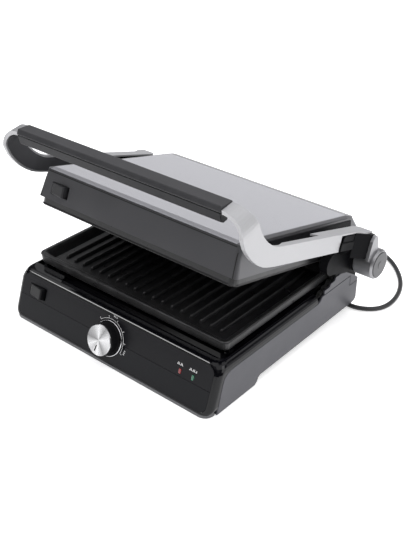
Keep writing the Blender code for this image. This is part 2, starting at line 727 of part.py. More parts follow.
def add_rib(shape, x):
    """One rib with sloped sides and ends, from inside the plate's floor up to a narrow crest."""
    top = PLATE_FLOOR_Z + RIB_H
    levels = ((PLATE_FLOOR_Z - 1, RIB_W / 2, 64.0), (top - 1, 1.7, 65.6), (top, 0.9, 67.4))
    rings = []
    for z, half, front in levels:
        rear = PLATE_Y[0] + PLATE_Y[1] - front
        right = [(0, front), (half, front + half), (half, rear - half), (0, rear)]
        plan = right + [(-half, rear - half), (-half, front + half)]
        rings.append([shape.verts.new((x + a, b, z)) for a, b in plan])
    for lower, upper in zip(rings, rings[1:]):
        for k in range(6):
            after = (k + 1) % 6
            shape.faces.new((lower[k], lower[after], upper[after], upper[k]))
    shape.faces.new(list(reversed(rings[0])))
    shape.faces.new(rings[-1])


# ---- lid ------------------------------------------------------------------------------------------------------
def lid_ring(spec, z, radius, inset=0.0):
    half_x, front, rear = spec
    return [(x, y, z) for x, y in rectangle(half_x - inset, (front + inset, rear - inset), radius)]


def lid(parent):
    levels = ((LID_BOTTOM, LID_BOTTOM_Z), (LID_WAIST, LID_WAIST_Z), (LID_TOP, LID_TOP_Z))
    outside = loft([lid_ring(spec, z, 5) for spec, z in levels])
    shell = piece("lid_shell", outside, "lid_grey", parent)
    below = [lid_ring(LID_BOTTOM, LID_BOTTOM_Z - 3, 5, 2.0), lid_ring(LID_WAIST, LID_WAIST_Z - 2, 5, 2.4)]
    below.append(lid_ring(LID_TOP, LID_TOP_Z - 2.4, 5, 2.6))
    boolean(shell, helper("lid_hollow", loft(below), parent))
    latch = moved(block((-14.9, 14.9), (-12, 12), (-7.7, 7.7)), LID_LATCH_FRAME)
    boolean(shell, helper("lid_latch_hole", latch, parent))
    for side, word in both_sides():
        hole = moved(rod(140, 165, PIN_R + 0.6, 20), at_lid_pivot())
        boolean(shell, helper(f"lid_pivot_hole_{word}", mirrored(hole, side), parent))
    frame_low, frame_high = LID_TOP_Z + GAP, LID_PLATE_Z - 0.2
    border = loft([
        lid_ring(LID_TOP, frame_low, 5, 0.2),
        lid_ring(LID_TOP, frame_low + 0.8, 5, 0.0),
        lid_ring(LID_PLATE, frame_high, 5, 0.0),
    ])
    rim = piece("lid_rim", border, "lid_grey", parent)
    sheet_x, sheet_rear = LID_PLATE[0] - 1.6, LID_PLATE[2] - 1.6
    window = block((-sheet_x - GAP, sheet_x + GAP), (40, sheet_rear + GAP), (120, 140))
    boolean(rim, helper("lid_rim_window", window, parent))
    low = LID_TOP_Z + GAP
    side = [(50.2, low), (50.2, low + 0.8), (LID_PLATE[1], LID_PLATE_Z), (sheet_rear, LID_PLATE_Z), (sheet_rear, low)]
    top = piece("lid_top_plate", prism(side, "x", -sheet_x, sheet_x), "lid_silver", parent)
    soften(top, 0.7, 2, 50)
    for side, word in both_sides():
        strip = loft([lid_strip_ring(121.0), lid_strip_ring(130.0)])
        piece(f"lid_side_vent_{word}", mirrored(strip, side), "black_plastic", parent)
    flip = Matrix.Translation((0, 0, LID_RIM_Z + PLATE_Z[1])) @ Matrix.Scale(-1, 4, (0, 0, 1))
    flip = Matrix.Translation((0, 4.8, 0)) @ flip
    grill_plate("upper_grill_plate", flip, parent)
    outside, inside = dish(138.0, (62.0, 246.0), 109.5, 121.0, 10, 1.0)
    turn_over = Matrix.Translation((0, 0, 230.5)) @ Matrix.Scale(-1, 4, (0, 0, 1))
    reflector = piece("upper_reflector", moved(outside, turn_over), "steel", parent)
    boolean(reflector, helper("upper_reflector_hollow", moved(inside, turn_over), parent))
    heater("upper_heater", 106.4, parent)
    latch_button("upper_latch_button", LID_LATCH_FRAME, parent)


def lid_strip_ring(z):
    """Plan outline of the black strip on the lid's side at one height."""
    share = (z - LID_WAIST_Z) / (LID_TOP_Z - LID_WAIST_Z)
    face = LID_WAIST[0] + (LID_TOP[0] - LID_WAIST[0]) * share + GAP
    return [(x, y, z) for x, y in ((face, 100), (face + 1.2, 101), (face + 1.2, 279), (face, 280))]


def lid_front_frame(x, z):
    share = (z - LID_BOTTOM_Z) / (LID_TOP_Z - LID_BOTTOM_Z)
    lean = atan2(LID_TOP[1] - LID_BOTTOM[1], LID_TOP_Z - LID_BOTTOM_Z)
    y = LID_BOTTOM[1] + (LID_TOP[1] - LID_BOTTOM[1]) * share
    return Matrix.Translation((x, y, z)) @ Matrix.Rotation(-lean, 4, "X")


LID_LATCH_FRAME = lid_front_frame(-121.5, 112.0)


def at_lid_pivot():
    return Matrix.Translation((0, LID_PIVOT[0], LID_PIVOT[1]))


def lid_pivot_in_arms():
    """The lid's pivot in the level drawing of the arms, which rest more open than the lid."""
    turn = radians(ARM_TILT - LID_TILT)
    y, z = LID_PIVOT[0] - HUB[0], LID_PIVOT[1] - HUB[1]
    return HUB[0] + y * cos(turn) - z * sin(turn), HUB[1] + z * cos(turn) + y * sin(turn)


# ---- arms and grip --------------------------------------------------------------------------------------------
# Lower and upper edge of the arm's band, from the straight part forward and up to the grip.
BAND = (
    ((ARM_REAR_Y, 107.0), (ARM_REAR_Y, 128.8), 0.0),
    ((76.0, 107.0), (76.0, 128.8), 0.0),
    ((62.0, 107.4), (66.0, 129.4), 0.0),
    ((48.0, 109.0), (56.5, 132.2), 0.0),
    ((33.5, 114.2), (46.5, 136.8), 0.0),
    ((20.4, 122.0), (38.0, 142.6), 0.0),
    ((9.4, 131.4), (31.0, 149.4), 0.0),
    ((2.0, 141.6), (25.2, 156.6), 0.0),
)
BAND_END = ((-4.4, 165.8), (11.6, 173.4))  # where it meets the grip, after a quarter bend inward
BEND_X = 28.6
BEND_STEPS = 10


def smooth_band():
    """The curved part of the band, with a station between each two that are drawn."""
    edges = [smooth_points([(0, *station[n]) for station in BAND[1:]], 0.0, 2) for n in (0, 1)]
    return [((low.y, low.z), (high.y, high.z), 0.0) for low, high in zip(*edges)]


def band_sections(outer, inner, margin, steps=BEND_STEPS):
    """Sections of the band between two depths under its outer face, with its edges set in by margin."""
    stations = [BAND[0], *smooth_band()]
    for k in range(1, steps + 1):
        angle = pi / 2 * k / BEND_STEPS
        edges = [Vector(a).lerp(Vector(b), sin(angle)) for a, b in zip(BAND[-1][:2], BAND_END)]
        stations.append((*edges, angle))
    sections = []
    for lower, upper, angle in stations:
        unit = Vector((0, upper[0] - lower[0], upper[1] - lower[1])).normalized()
        out = Vector((cos(angle), 0, 0)) + Vector((0, -unit.z, unit.y)) * sin(angle)
        x = ARM_X[1] - BEND_X * (1 - cos(angle))
        low = Vector((x, *lower)) + unit * margin
        high = Vector((x, *upper)) - unit * margin
        sections.append([tuple(p - out * d) for p, d in ((low, outer), (high, outer), (high, inner), (low, inner))])
    return sections


def arms(parent):
    for side, word in both_sides():
        thick = ARM_X[1] - ARM_X[0]
        arm = piece(f"arm_{word}", mirrored(loft(band_sections(0, thick, 0)), side), "arm_silver", parent, 30)
        flange_x = (166.6, ARM_X[1])
        outline = [(flange_x[1], 160), (flange_x[0] + 9, 152), (flange_x[0] + 9, 165), (flange_x[0], 159)]
        outline += [(flange_x[0], 260), (flange_x[0] + 5, 266), (190.0, 266), (190.0, 252), (flange_x[1], 240)]
        flange = prism(outline, "z", ARM_Z[1] - 2.0, ARM_Z[1])
        boolean(arm, helper(f"arm_flange_{word}", mirrored(flange, side), parent), "UNION")
        front = prism([(175.0, 88), (179, 76), (181, 76), (181, 165), (175.0, 165)], "z", ARM_Z[1] - 2.0, ARM_Z[1])
        boolean(arm, helper(f"arm_edge_{word}", mirrored(front, side), parent), "UNION")
        liner = loft(band_sections(thick + 0.5, thick + 1.6, 2.6, BEND_STEPS - 5))
        piece(f"arm_liner_{word}", mirrored(liner, side), "grip_grey", parent)
        hinge_block(side, word, parent)
        hub(side, word, parent)
        pivot = moved(turned([(150.5, PIN_R - 0.5), (151, PIN_R), (174.3, PIN_R)], 24),
                      Matrix.Translation((0, *lid_pivot_in_arms())))
        piece(f"lid_pivot_{word}", mirrored(pivot, side), "steel", parent)


def hinge_block(side, word, parent):
    """The black carrier that joins the arm to its hub, with a slanted outer face."""
    top = ARM_Z[1] - 2.0 - GAP
    start = ARM_REAR_Y + GAP
    outline = [(176.5, start), (181.0, start), (181.0, 236), (183.8, 236), (194.0, 256.6), (194.0, 292), (176.5, 292)]
    carrier = piece(f"hinge_block_{word}", mirrored(prism(outline, "z", 96.0, top), side), "black_plastic", parent)
    under = [(150, 90), (150, 107), (236, 107), (244, 103), (256, 90)]
    boolean(carrier, helper(f"block_under_{word}", mirrored(prism(under, "x", 170, 182.5), side), parent))
    hub_room = at_hub(rod(170, 200, HUB_R + GAP, 48))
    boolean(carrier, helper(f"block_hub_room_{word}", mirrored(hub_room, side), parent))
    rear = [(265.5, 140), (300, 140), (300, 80), (283, 88), (275, 98), (272.5, 111.5), (266.5, 123.6)]
    boolean(carrier, helper(f"block_rear_{word}", mirrored(prism(rear, "x", 170, 200), side), parent))
    if side < 0:
        cover = [(ARM_REAR_Y + GAP, 107.2), (234.6, 107.2), (234.6, top), (ARM_REAR_Y + GAP, top)]
        piece("arm_cover_left", mirrored(prism(cover, "x", 181.4, 183.5), side), "arm_silver", parent)


def hub(side, word, parent):
    profile = [(HUB_X[0], HUB_R - 1.2), (HUB_X[0] + 1.2, HUB_R), (HUB_X[1] - 2.4, HUB_R), (HUB_X[1], HUB_R - 1.6)]
    drum = piece(f"hub_{word}", mirrored(at_hub(turned(profile, 48)), side), "hub_silver", parent)
    cover = [(257.0, 118), (259.6, 124), (262.6, 126.4), (267.4, 124.4), (273.6, 112), (276, 96), (262, 92), (256.2, 94)]
    plate = prism(cover, "x", 194.4, 198.4)
    boolean(drum, helper(f"hub_plate_{word}", mirrored(plate, side), parent), "UNION")
    bore = at_hub(rod(170, 196.0, PIN_R + GAP, 24))
    boolean(drum, helper(f"hub_bore_{word}", mirrored(bore, side), parent))
    well = at_hub(rod(HUB_X[1] - 1.4, HUB_X[1] + 5, 17.0, 48))
    boolean(drum, helper(f"hub_cap_well_{word}", mirrored(well, side), parent))
    face = HUB_X[1] - 1.4 + GAP
    cap = [(face, 16.4), (face + 1.3, 16.4), (face + 1.8, 15.6), (face + 1.9, 5.0), (face + 2.3, 4.6), (face + 2.3, 0.4)]
    piece(f"hub_cap_{word}", mirrored(at_hub(turned(cap, 40)), side), "cap_grey", parent)


def grip(parent):
    upper = [(-5.0, 162.6), (-4.4, 169.6), (12.2, 174.8), (15.2, 171.6), (14.0, 163.0), (9.4, 161.2)]
    soften(piece("grip_bar", prism(upper, "x", -GRIP_X, GRIP_X), "grip_grey", parent), 1.2)
    lower = [(-4.2, 162.0), (9.2, 160.6), (13.2, 162.2), (11.0, 154.0), (6.0, 151.4), (1.4, 152.2)]
    soften(piece("grip_underside", prism(lower, "x", -GRIP_X + 1, GRIP_X - 1), "panel_dark", parent), 0.7)


def height_lever(parent):
    """The two-step black lever in the right arm, which picks a rest step."""
    lower = [(205.0, 108.0), (233.0, 108.0), (233.6, 117.8), (204.8, 117.8)]
    lever = piece("height_lever", prism(lower, "x", 181.4, 185.6), "black_plastic", parent)
    upper = prism([(208.0, 116.0), (233.6, 116.0), (233.8, 125.6), (213.0, 125.6), (209.6, 123.6)], "x", 181.4, 184.2)
    boolean(lever, helper("lever_step", upper, parent), "UNION")


# ---- mains lead -----------------------------------------------------------------------------------------------
def cord_route():
    """The lead's own points, from the gland to the coil, on the table after its first bend."""
    rest = CORD_D / 2 + 0.2
    start = [(40, 325.5, 22.0), (40.2, 336, 21.4), (41.8, 347.5, 18.6), (45.5, 359, 13.6), (51.5, 370, 8.2)]
    start.append((60.5, 379.5, 4.6))
    table = [
        (72.5, 385.5),
        (86, 386.5),
        (99.5, 381),
        (109.5, 370.5),
        (116, 357),
        (120.5, 342),
        (124, 328),
        (130, 314.5),
        (139, 303.5),
        (151, 297),
        (163, 295.8),
        (174, 298.5),
        (186, 306),
        (194.5, 317.5),
        (198, 333),
        (196.5, 352),
        (191, 371.5),
        (181.5, 390.5),
        (167.5, 409),
        (151, 425),
        (133, 437),
        (112, 445),
        (90, 448.5),
        (68, 448),
        (46, 445.5),
        (24, 444.6),
        (COIL[0] + 22, COIL[1] + COIL_R + CORD_D + GAP),
        (COIL[0], COIL[1] + COIL_R + CORD_D + GAP),
    ]
    return start + [(x, y, rest) for x, y in table]


def smooth_points(points, spacing, steps=12):
    """Points along a smooth curve through points, steps to each span, thinned out to about spacing apart."""
    spread = [Vector(p) for p in points]
    ends = [spread[0] * 2 - spread[1]] + spread + [spread[-1] * 2 - spread[-2]]
    fine = []
    for a, b, c, d in zip(ends, ends[1:], ends[2:], ends[3:]):
        for k in range(steps):
            t = k / steps
            bend = (2 * a - 5 * b + 4 * c - d) * t**2 + (3 * b - a - 3 * c + d) * t**3
            fine.append(0.5 * (2 * b + (c - a) * t + bend))
    fine.append(spread[-1])
    if not spacing:
        return fine
    out = [fine[0]]
    walked = 0.0
    for before, here in zip(fine, fine[1:]):
        walked += (here - before).length
        if walked >= spacing:
            out.append(here)
            walked = 0.0
    if (out[-1] - fine[-1]).length < spacing / 2:
        out.pop()
    return out + [fine[-1]]


def mains_lead():
    body = turned([(-0.25, 9.4), (2.4, 9.4), (3.4, 6.6), (14.0, 5.6), (25.0, 4.8)], 24)
    relief = piece("cord_gland", moved(body, along_y(GLAND_X, BASE_DEPTH, GLAND_Z)), "rubber")
    neck = moved(rod(-5.0, 2.0, 7.0, 24), along_y(GLAND_X, BASE_DEPTH, GLAND_Z))
    boolean(relief, helper("gland_neck", neck), "UNION")
    tube("mains_cord", smooth_points(cord_route(), CORD_D * 2.0), CORD_D / 2, 2, "lead_grey")
    tail = [(-50.2, 438.1, 10.5), (-60, 438.2, 12.2), (-72, 438.2, 14.6), (-82, 438.3, 16.5), (-90.9, 438.3, 17.4)]
    tube("cord_tail", tail, CORD_D / 2, 2, "lead_grey")
    cord_coil()
    mains_plug()


def cord_coil():
    """One ring with the outer shape of the turns, open where the lead joins it."""
    outer, inner = COIL_R + CORD_D / 2, COIL_R - CORD_D / 2
    ring = turned([(0.0, outer), (2 * CORD_D, outer)], 40, inner)
    upright = Matrix.Translation((COIL[0], COIL[1], 0.1)) @ Matrix.Rotation(-pi / 2, 4, "Y")
    piece("cord_coil", moved(ring, upright), "lead_grey")


def mains_plug():
    """A plain earthed plug with two round pins, lying on its side."""
    radius = 17.5
    profile = [(0.0, 5.4), (12.0, 7.6), (18.0, 12.0), (24.0, 16.6), (30.0, radius), (44.0, radius), (45.0, radius - 1)]
    lying = Matrix.Translation((PLUG[0], PLUG[1], radius + 0.1)) @ Matrix.Rotation(radians(196), 4, "Z")
    plug = piece("mains_plug", moved(turned(profile, 32), lying), "lead_grey")
    for k, y in enumerate((-9.5, 9.5)):
        pin = moved(turned([(43.0, 2.4), (62.0, 2.4), (63.5, 1.4)], 12), lying @ Matrix.Translation((0, y, 0)))
        boolean(plug, helper(f"plug_pin_{k}", pin), "UNION")


# ---- assembly -------------------------------------------------------------------------------------------------
clear_scene()
PRESS = bpy.data.objects.new("press", None)
collection("panini_press").objects.link(PRESS)
PRESS.location = (0, -Y_MIDDLE * MM, 0)

base_housing()
base_front()
base_sides()
hinge_brackets()
feet()
floor_plate()
base_inside()
latch_button("lower_latch_button", front_frame(LATCH_X, LATCH_Z))
knob()
grill_plate("lower_grill_plate", None)
ARMS = axis_empty("arm_axis", HUB, ARM_TILT)
arms(ARMS)
grip(ARMS)
height_lever(ARMS)
LID = axis_empty("lid_axis", LID_PIVOT, LID_TILT)
lid(LID)
mains_lead()
bpy.context.view_layer.update()
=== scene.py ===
"""Looks of the contact grill: camera, light, floor, lead, marks and materials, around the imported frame.

Lengths are in metres. The press stands on z = 0 with its front towards -Y.
"""

import json
from math import cos, pi, radians, sin, tan

import bmesh
import bpy
from mathutils import Matrix, Vector


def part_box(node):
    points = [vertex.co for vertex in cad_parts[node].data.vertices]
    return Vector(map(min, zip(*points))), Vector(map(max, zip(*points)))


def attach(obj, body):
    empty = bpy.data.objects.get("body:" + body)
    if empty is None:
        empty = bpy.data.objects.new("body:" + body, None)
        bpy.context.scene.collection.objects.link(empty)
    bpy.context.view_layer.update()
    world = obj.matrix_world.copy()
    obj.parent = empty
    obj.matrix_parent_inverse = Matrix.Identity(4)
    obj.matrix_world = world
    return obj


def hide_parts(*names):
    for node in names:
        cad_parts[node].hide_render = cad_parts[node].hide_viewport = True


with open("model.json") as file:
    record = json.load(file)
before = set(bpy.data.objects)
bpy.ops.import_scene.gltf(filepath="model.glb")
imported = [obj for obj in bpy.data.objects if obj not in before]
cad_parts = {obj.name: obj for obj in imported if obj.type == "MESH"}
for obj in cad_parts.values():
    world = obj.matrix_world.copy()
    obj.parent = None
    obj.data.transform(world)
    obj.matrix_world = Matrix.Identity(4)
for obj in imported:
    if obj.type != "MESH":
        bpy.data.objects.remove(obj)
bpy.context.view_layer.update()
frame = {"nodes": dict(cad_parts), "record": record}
NODES = frame["nodes"]
MM = 0.001

# ---- places, worked out from the frame -----------------------------------------------------------
FRONT_LEAN = radians(20)  # the control front leans back
FRONT_EDGE_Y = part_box("front_trim")[0][1] - 0.3 * MM  # y of the leaning front at z = 0

# ---- the lead, in millimetres apart from its diameter --------------------------------------------
CORD_D = 6.2 * MM
COIL = Vector((-28.0, 255.15))
COIL_R = 34.0
COIL_TURNS = 2
COIL_LOW = 3.55  # height of the lower turn's middle
COIL_RISE = CORD_D / MM  # from the lower turn up to the next
COIL_GAP = 0.35  # between the lead as it comes in and the turn beside it
LEAD_REST = 3.3  # height of the lead's middle on the table
TIE_IN, TIE_OUT = 3.12, 3.5  # inner and outer radius of the coil's strap round the lead
TIE_HALF = 4.5  # half the strap's width
PLUG_AT = Vector((-92.0, 289.15, 17.6))
PLUG_TURN = radians(196)
PIN_R, PIN_LONG = 2.5, 17.0
PIN_OUT, PIN_APART = 53.8, 19.0  # how far the pins' middles are from the plug's start and from each other

# ---- the front, as x and z in millimetres --------------------------------------------------------
KNOB_Z = 31.4
KNOB_FACE = 16.6  # how far the pointer on the knob stands out of the front
RED_X, GREEN_X = 112.0, 131.0
LAMP_MARK_Z = 47.0
PRINT_T = 0.12  # thickness of a printed mark
DIAL_START, DIAL_END = -24, 132  # degrees from 3 o'clock, anticlockwise


def front_frame(x, z):
    """A frame on the leaning front, in millimetres: local x to the right, y into the base, z up the front."""
    at = Vector((x, FRONT_EDGE_Y / MM + z * tan(FRONT_LEAN), z))
    return Matrix.Translation(at) @ Matrix.Rotation(-FRONT_LEAN, 4, "X")


def on_front(x, z):
    return front_frame(x, z).translation * MM


# ---- the lid's front, drawn level as in the design and turned about the lid's own pivot ----
LID_TILT = radians(14.2)  # how far the front is raised in the pose shown
LID_PIVOT_LEVEL = Vector((0.0, 205.0, 112.0))
LID_JOINT = next(joint for joint in frame["record"]["behaviour"]["joints"] if joint["name"] == "lid_float")
# From the bottom up: z, half the width, and y of the front face.
LID_FRONT = ((97.0, 157.0, 44.5), (120.0, 153.1, 47.8), (132.4, 151.0, 49.6))
LID_CORNER_R = 5.0  # in plan


def lid_frame():
    """From the level drawing of the lid, in millimetres, to where it stands in the pose shown."""
    there = Matrix.Translation(Vector(LID_JOINT["pos_m"]) / MM)
    return there @ Matrix.Rotation(-LID_TILT, 4, "X") @ Matrix.Translation(-LID_PIVOT_LEVEL)


# ---- materials -----------------------------------------------------------------------------------
class Shader:
    """A Principled material and the few node steps that the finishes share."""

    def __init__(self, name, colour, roughness, metallic=0.0, **sockets):
        self.material = bpy.data.materials.new(name)
        self.material.use_nodes = True
        self.nodes = self.material.node_tree.nodes
        self.links = self.material.node_tree.links
        self.out = self.nodes["Principled BSDF"]
        self.set("Base Color", (*colour, 1.0))
        self.set("Roughness", roughness)
        self.set("Metallic", metallic)
        self.colour, self.roughness = colour, roughness
        for socket, value in sockets.items():
            self.set(socket.replace("_", " "), value)

    def set(self, socket, value):
        self.out.inputs[socket].default_value = value

    def coordinates(self, scale=(1, 1, 1)):
        place = self.nodes.new("ShaderNodeTexCoord")
        mapping = self.nodes.new("ShaderNodeMapping")
        mapping.inputs["Scale"].default_value = scale
        self.links.new(place.outputs["Object"], mapping.inputs["Vector"])
        return mapping.outputs["Vector"]

    def noise(self, scale, detail=4, stretch=(1, 1, 1), roughness=0.55):
        node = self.nodes.new("ShaderNodeTexNoise")
        node.inputs["Scale"].default_value = scale
        node.inputs["Detail"].default_value = detail
        node.inputs["Roughness"].default_value = roughness
        self.links.new(self.coordinates(stretch), node.inputs["Vector"])
        return node.outputs["Fac"]

    def ramp(self, value, low, high, start=0.3, end=0.7):
        node = self.nodes.new("ShaderNodeMapRange")
        node.inputs["From Min"].default_value = start
        node.inputs["From Max"].default_value = end
        node.inputs["To Min"].default_value = low
        node.inputs["To Max"].default_value = high
        self.links.new(value, node.inputs["Value"])
        return node.outputs["Result"]

    def tint(self, value, amount, start=0.3, end=0.7):
        """The base colour, darker and lighter by amount as value goes from start to end."""
        node = self.nodes.new("ShaderNodeMix")
        node.data_type = "RGBA"
        node.inputs["A"].default_value = (*[c * (1 - amount) for c in self.colour], 1)
        node.inputs["B"].default_value = (*[min(1, c * (1 + amount)) for c in self.colour], 1)
        self.links.new(self.ramp(value, 0, 1, start, end), node.inputs["Factor"])
        self.links.new(node.outputs["Result"], self.out.inputs["Base Color"])

    def vary_roughness(self, value, amount, start=0.3, end=0.7):
        low, high = max(0.02, self.roughness - amount), min(1, self.roughness + amount)
        self.links.new(self.ramp(value, low, high, start, end), self.out.inputs["Roughness"])

    def bump(self, value, height, strength=1.0):
        node = self.nodes.new("ShaderNodeBump")
        node.inputs["Strength"].default_value = strength
        node.inputs["Distance"].default_value = height
        self.links.new(value, node.inputs["Height"])
        self.links.new(node.outputs["Normal"], self.out.inputs["Normal"])


def gloss_plastic(name, colour, roughness, specular):
    """Polished moulded plastic with a very slight ripple and a trace of handling."""
    shader = Shader(name, colour, roughness, Specular_IOR_Level=specular)
    shader.vary_roughness(shader.noise(22, 3), 0.02)
    shader.bump(shader.noise(9, 2), 0.0003, 0.08)
    return shader.material


def matte_plastic(name, colour, roughness=0.5, grain=1500, specular=0.45):
    """Moulded plastic with a fine spark-eroded grain."""
    shader = Shader(name, colour, roughness, Specular_IOR_Level=specular)
    shader.tint(shader.noise(30, 3), 0.10)
    shader.vary_roughness(shader.noise(60, 3), 0.05)
    shader.bump(shader.noise(grain, 2), 0.00008, 0.35)
    return shader.material


def painted_metal(name, colour, roughness, metallic):
    """Metallic lacquer on sheet steel: fine flake and a little orange peel."""
    shader = Shader(name, colour, roughness, metallic, Coat_Weight=0.15, Coat_Roughness=0.25)
    shader.tint(shader.noise(2600, 2), 0.07)
    shader.vary_roughness(shader.noise(18, 4), 0.05)
    shader.bump(shader.noise(420, 2), 0.00006, 0.20)
    return shader.material


def brushed_metal(name, colour, roughness, along, metallic=0.95, amount=0.06):
    """Metal brushed along one axis, 0 for x and 1 for y."""
    stretch = [14.0, 14.0, 14.0]
    stretch[along] = 0.35
    shader = Shader(name, colour, roughness, metallic)
    lines = shader.noise(160, 5, stretch, 0.7)
    shader.tint(lines, amount, 0.25, 0.75)
    shader.vary_roughness(lines, 0.07, 0.25, 0.75)
    shader.bump(lines, 0.00005, 0.25)
    return shader.material


def non_stick(name):
    """Sprayed non-stick coating on cast aluminium: satin black with a faint speckle and pebble."""
    shader = Shader(name, (0.013, 0.013, 0.014), 0.34, 0.0, Specular_IOR_Level=0.6)
    speck = shader.noise(900, 3)
    shader.tint(speck, 0.5, 0.45, 0.75)
    shader.vary_roughness(shader.noise(70, 4), 0.07)
    shader.bump(shader.noise(650, 3), 0.00012, 0.35)
    return shader.material


def lens(name, colour):
    """The tinted, slightly frosted plastic of a pilot lamp."""
    shader = Shader(name, colour, 0.12, 0.0, Coat_Weight=0.6, Transmission_Weight=0.25)
    shader.vary_roughness(shader.noise(300, 2), 0.04)
    return shader.material


# Painted sheen: how bright the base colour of a turned face is painted round its middle, at shares of a whole
# turn. It stands in for the light that turned metal reflects.
PAINTED_SHEEN = (
    (0.0, 0.30),
    (0.10, 0.90),
    (0.17, 0.62),
    (0.27, 0.98),
    (0.36, 0.34),
    (0.46, 0.72),
    (0.56, 0.95),
    (0.68, 0.36),
    (0.78, 0.98),
    (0.88, 0.52),
    (1.0, 0.30),
)


def turned_metal(name, colour, centre, tilt):
    """A lathe-turned face: fine rings, and a painted sheen round its middle, its base colour lighter and
    darker in wedges in place of the reflections that turned metal shows.
    """
    shader = Shader(name, colour, 0.22, 1.0)
    place = shader.nodes.new("ShaderNodeTexCoord")
    mapping = shader.nodes.new("ShaderNodeMapping")
    mapping.vector_type = "TEXTURE"
    mapping.inputs["Location"].default_value = centre
    mapping.inputs["Rotation"].default_value = (tilt, 0, 0)
    shader.links.new(place.outputs["Object"], mapping.inputs["Vector"])
    sweep = shader.nodes.new("ShaderNodeTexGradient")
    sweep.gradient_type = "RADIAL"
    shader.links.new(mapping.outputs["Vector"], sweep.inputs["Vector"])
    # The base colour is painted lighter and darker in wedges round the middle: a painted sheen standing in
    # for reflection.
    painted_sheen = shader.nodes.new("ShaderNodeValToRGB")
    while len(painted_sheen.color_ramp.elements) < len(PAINTED_SHEEN):
        painted_sheen.color_ramp.elements.new(0.5)
    for element, (at, level) in zip(painted_sheen.color_ramp.elements, PAINTED_SHEEN):
        element.position = at
        element.color = (level * colour[0], level * colour[1], level * colour[2], 1)
    shader.links.new(sweep.outputs["Fac"], painted_sheen.inputs["Fac"])
    shader.links.new(painted_sheen.outputs["Color"], shader.out.inputs["Base Color"])
    rings = shader.nodes.new("ShaderNodeTexWave")
    rings.wave_type = "RINGS"
    rings.rings_direction = "Z"
    rings.inputs["Scale"].default_value = 420
    rings.inputs["Distortion"].default_value = 1.5
    shader.links.new(mapping.outputs["Vector"], rings.inputs["Vector"])
    shader.bump(rings.outputs["Fac"], 0.00004, 0.25)
    shader.vary_roughness(rings.outputs["Fac"], 0.05, 0, 1)
    return shader.material


def make_materials():
    """Every finish, by name."""
    dial = tuple(on_front(0, KNOB_Z))
    return {
        "base_black": gloss_plastic("base_black", (0.002, 0.002, 0.003), 0.10, 0.30),
        "gloss_black": gloss_plastic("gloss_black", (0.004, 0.0045, 0.0065), 0.10, 0.16),
        "panel_dark": matte_plastic("panel_dark", (0.008, 0.008, 0.010), 0.34, 1500, 0.18),
        "side_grey": painted_metal("side_grey", (0.060, 0.060, 0.070), 0.40, 0.45),
        "lip_grey": painted_metal("lip_grey", (0.10, 0.10, 0.105), 0.34, 0.6),
        "plate_black": non_stick("plate_black"),
        "lid_grey": painted_metal("lid_grey", (0.10, 0.10, 0.106), 0.36, 0.45),
        "lid_silver": brushed_metal("lid_silver", (0.55, 0.55, 0.58), 0.32, 0),
        "arm_silver": brushed_metal("arm_silver", (0.48, 0.48, 0.49), 0.52, 1, 0.8),
        "hub_silver": brushed_metal("hub_silver", (0.30, 0.30, 0.31), 0.36, 0),
        "cap_grey": painted_metal("cap_grey", (0.058, 0.058, 0.062), 0.38, 0.4),
        "grip_grey": matte_plastic("grip_grey", (0.042, 0.042, 0.045), 0.42, 1500, 0.35),
        "black_plastic": matte_plastic("black_plastic", (0.006, 0.006, 0.007), 0.44, 1500, 0.06),
        "latch_satin": matte_plastic("latch_satin", (0.007, 0.007, 0.008), 0.36, 1500, 0.2),
        "latch_grey": matte_plastic("latch_grey", (0.026, 0.026, 0.028), 0.40, 1500, 0.3),
        # The knob's base colour carries the painted sheen of turned_metal.
        "knob_metal": turned_metal("knob_metal", (0.76, 0.76, 0.77), dial, pi / 2 - FRONT_LEAN),
        "steel": brushed_metal("steel", (0.55, 0.55, 0.56), 0.35, 0),
        "rubber": matte_plastic("rubber", (0.014, 0.014, 0.014), 0.62, 900),
        "red_lens": lens("red_lens", (0.30, 0.012, 0.014)),
        "green_lens": lens("green_lens", (0.010, 0.17, 0.085)),
        "lead_grey": matte_plastic("lead_grey", (0.022, 0.022, 0.024), 0.42, 700),
        "chrome": brushed_metal("chrome", (0.80, 0.80, 0.82), 0.12, 0, 1.0, 0.02),
        "print_white": matte_plastic("print_white", (0.85, 0.85, 0.85), 0.5, 900),
    }


# Nodes whose finish differs from that of the other nodes in their slot.
FINISHES = {
    "lower_latch_button": "latch_satin",
    "upper_latch_button": "latch_grey",
}

# Widths of the rounded edges, in millimetres.
EDGE_WIDTH = 0.35
EDGE_WIDTHS = {
    "base_housing": 0.6,
    "lower_grill_plate": 0.6,
    "upper_grill_plate": 0.6,
    "lid_shell": 0.5,
    "lid_rim": 0.3,
    "arm_left": 0.6,
    "arm_right": 0.6,
    "grip_bar": 1.8,
    "grip_underside": 1.2,
    "hinge_block_left": 0.7,
    "hinge_block_right": 0.7,
    "height_lever": 0.6,
    "height_rack_left": 0.6,
    "height_rack_right": 0.6,
}


def paint_nodes(materials):
    """Gives every CAD node its finish, and the small rounded edges that moulded and pressed parts have."""
    for part in frame["record"]["subparts"]:
        name = part["node"]
        node = NODES[name]
        node.data.materials.clear()
        node.data.materials.append(materials[FINISHES.get(name, part["material_slot"])])
        node.data.shade_smooth()
        edges = node.modifiers.new("edges", "BEVEL")
        edges.width = EDGE_WIDTHS.get(name, EDGE_WIDTH) * MM
        edges.segments = 2
        edges.limit_method = "ANGLE"
        edges.angle_limit = radians(28)
        edges.use_clamp_overlap = True
        normals = node.modifiers.new("normals", "WEIGHTED_NORMAL")
        normals.weight = 90
        normals.keep_sharp = True


# ---- shapes --------------------------------------------------------------------------------------
def new_object(name, data, material, body):
    """A visible piece with its material, riding on a CAD body."""
    thing = bpy.data.objects.new(name, data)
    bpy.context.scene.collection.objects.link(thing)
    thing.data.materials.append(material)
    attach(thing, body)
    return thing


